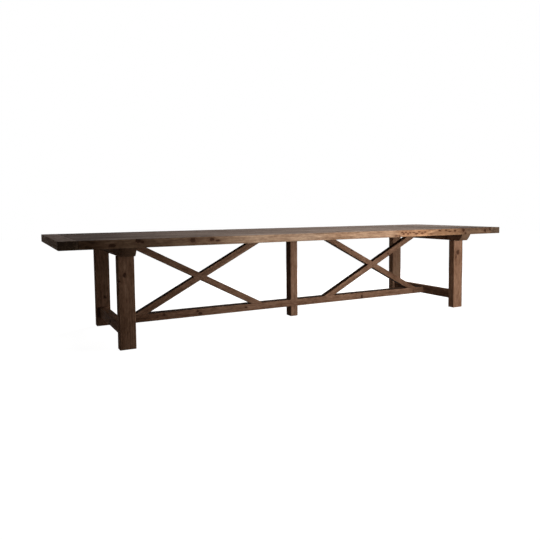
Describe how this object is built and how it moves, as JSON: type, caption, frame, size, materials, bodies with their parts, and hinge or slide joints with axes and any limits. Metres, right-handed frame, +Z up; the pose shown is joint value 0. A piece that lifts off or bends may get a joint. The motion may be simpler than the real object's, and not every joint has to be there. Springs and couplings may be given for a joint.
{
  "type": "dining table",
  "caption": "Long trestle dining table in reclaimed timber, with a breadboard-ended plank top, crossed braces on both sides of a centre post, and a low long stretcher.",
  "frame": {"origin": "on the floor, under the middle of the top", "axes": "+X along the table towards its right end as seen from the front, +Y towards the back edge, +Z up"},
  "size_m": [4, 1.2, 0.77],
  "materials": {
    "top_timber": "waxed, aged, worn arrises",
    "base_timber": "stained and waxed, sawn and worn",
    "peg_timber": "stained and waxed hardwood",
    "fastener_steel": "blackened"
  },
  "bodies": {
    "root": {"top_board_1": "top_timber", "top_board_2": "top_timber", "top_board_3": "top_timber", "top_board_4": "top_timber", "top_board_5": "top_timber", "top_board_6": "top_timber", "breadboard_end_left": "top_timber", "breadboard_end_right": "top_timber", "bearer_left": "base_timber", "bearer_right": "base_timber", "leg_front_left": "base_timber", "leg_back_left": "base_timber", "leg_front_right": "base_timber", "leg_back_right": "base_timber", "cross_stretcher_left": "base_timber", "cross_stretcher_right": "base_timber", "long_stretcher": "base_timber", "centre_post": "base_timber", "top_rail": "base_timber", "brace_left_rising": "base_timber", "brace_left_falling": "base_timber", "brace_right_rising": "base_timber", "brace_right_falling": "base_timber", "breadboard_pegs": "peg_timber", "bearer_pegs": "peg_timber", "cross_stretcher_pegs": "peg_timber", "post_peg": "peg_timber", "stretcher_bolts": "fastener_steel", "stretcher_washers": "fastener_steel", "barrel_nuts": "fastener_steel", "top_screws": "fastener_steel", "rail_screws": "fastener_steel", "rail_end_screws": "fastener_steel", "brace_head_screws": "fastener_steel", "brace_foot_screws": "fastener_steel", "brace_lap_screws": "fastener_steel", "post_lap_screws": "fastener_steel"}
  },
  "joints": []
}
